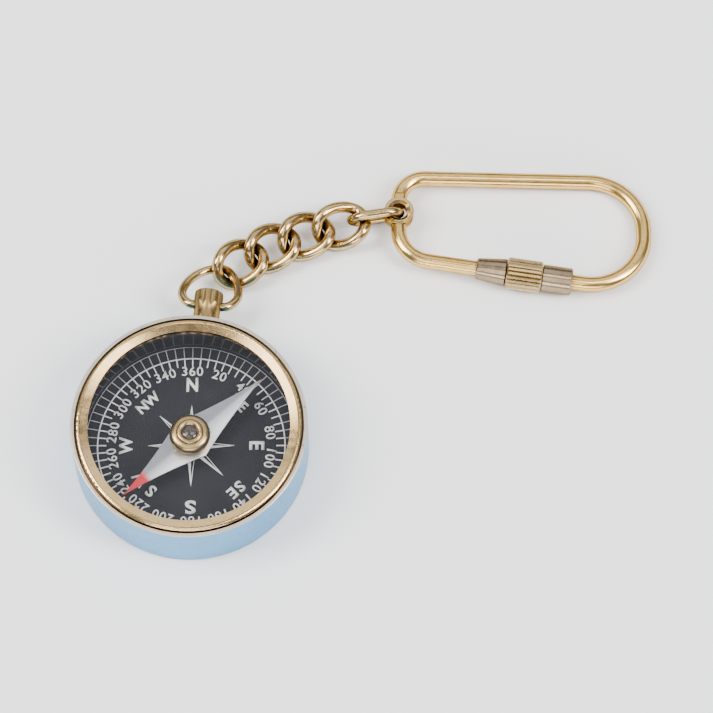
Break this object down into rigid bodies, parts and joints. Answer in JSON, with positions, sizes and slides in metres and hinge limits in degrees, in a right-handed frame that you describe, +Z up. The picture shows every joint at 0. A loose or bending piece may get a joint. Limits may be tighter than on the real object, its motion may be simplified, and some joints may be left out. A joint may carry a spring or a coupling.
{
  "type": "compass key chain",
  "caption": "Small round brass pocket compass with a glass front, on a short curb chain and an oval screw-gate key ring.",
  "frame": {"origin": "centre of the flat case back, which the compass rests on", "axes": "+Z up through the glass, +Y along the pendant stem, +X to the right where the chain and key ring lie"},
  "size_m": [0.0886, 0.0758, 0.0115],
  "materials": {
    "polished_brass": "polished",
    "brass_wire": "worn polished",
    "brass_rod": "polished",
    "case_wall": "bright plated, mirror-like",
    "inner_wall": "dark polished",
    "dial_black": "satin, printed in white",
    "needle_metal": "polished, one tip red",
    "steel_pin": "ground",
    "dark_jewel": "polished",
    "crystal": "clear"
  },
  "bodies": {
    "case": {"case_body": "case_wall", "bezel": "polished_brass", "glass": "crystal", "glass_retaining_ring": "polished_brass", "dial_plate": "dial_black", "dial_spacer_ring": "inner_wall", "pivot_post": "polished_brass", "pivot_pin": "steel_pin", "pendant": "polished_brass"},
    "needle": {"needle_blade": "needle_metal", "needle_cap": "polished_brass", "needle_jewel": "dark_jewel"},
    "bow": {"bow": "brass_wire"},
    "link_1": {"chain_link_1": "brass_wire"},
    "link_2": {"chain_link_2": "brass_wire"},
    "link_3": {"chain_link_3": "brass_wire"},
    "link_4": {"chain_link_4": "brass_wire"},
    "end_link": {"end_link": "brass_wire"},
    "key_ring": {"ring_frame": "brass_rod", "eye_rivet": "polished_brass"},
    "gate_arm": {"gate_arm": "brass_rod", "gate_ferrule": "polished_brass"},
    "gate_sleeve": {"gate_collar": "polished_brass"},
    "gate_nut": {"knurled_nut": "polished_brass"}
  },
  "joints": [
    {"name": "needle_turn", "type": "hinge", "parent": "case", "child": "needle", "pos_m": [0, 0, 0], "axis": [0, 0, 1], "continuous": true},
    {"name": "bow_swing", "type": "hinge", "parent": "case", "child": "bow", "pos_m": [-0.00066, 0.02279, 0.0063], "axis": [0.9996, 0.029, 0], "range_deg": [-75, 105]},
    {"name": "link_1_swing", "type": "hinge", "parent": "bow", "child": "link_1", "pos_m": [-0.00019, 0.02938, 0.00449], "axis": [0.2984, -0.1932, -0.9347], "range_deg": [-60, 60]},
    {"name": "link_2_fold", "type": "hinge", "parent": "link_1", "child": "link_2", "pos_m": [0.00546, 0.03467, 0.00248], "axis": [-0.9154, 0.3604, 0.1793], "range_deg": [-60, 4]},
    {"name": "link_3_swing", "type": "hinge", "parent": "link_2", "child": "link_3", "pos_m": [0.00951, 0.03721, 0.00286], "axis": [-0.4004, 0.151, 0.9038], "range_deg": [-58, 8]},
    {"name": "link_4_fold", "type": "hinge", "parent": "link_3", "child": "link_4", "pos_m": [0.01654, 0.0405, 0.00266], "axis": [-0.0939, 0.9454, -0.3121], "range_deg": [-17, 52]},
    {"name": "end_link_fold", "type": "hinge", "parent": "link_4", "child": "end_link", "pos_m": [0.022, 0.04321, 0.00316], "axis": [-0.4893, 0.8625, -0.1295], "range_deg": [-60, 60]},
    {"name": "key_ring_swing", "type": "hinge", "parent": "end_link", "child": "key_ring", "pos_m": [0.02772, 0.04484, 0.00315], "axis": [0.0376, 0.0487, 0.9981], "range_deg": [-35, 60]},
    {"name": "gate_nut_turn", "type": "hinge", "parent": "gate_sleeve", "child": "gate_nut", "pos_m": [0.04961, 0.03679, 0.00272], "axis": [0.9993, -0.0021, -0.0376], "range_deg": [0, 2160]},
    {"name": "gate_sleeve_slide", "type": "slide", "parent": "key_ring", "child": "gate_sleeve", "axis": [0.9993, -0.0021, -0.0376], "range_m": [0, 0.003]},
    {"name": "gate_arm_swing", "type": "hinge", "parent": "key_ring", "child": "gate_arm", "pos_m": [0.02772, 0.04484, 0.00315], "axis": [0.0376, 0.0487, 0.9981], "range_deg": [-25, 0]}
  ],
  "couplings": [
    {"joint": "gate_nut_turn", "follows": "gate_sleeve_slide", "rad_per_m": 12565},
    {"joint": "gate_arm_swing", "follows": "gate_sleeve_slide", "rad_per_m": -145.43}
  ]
}
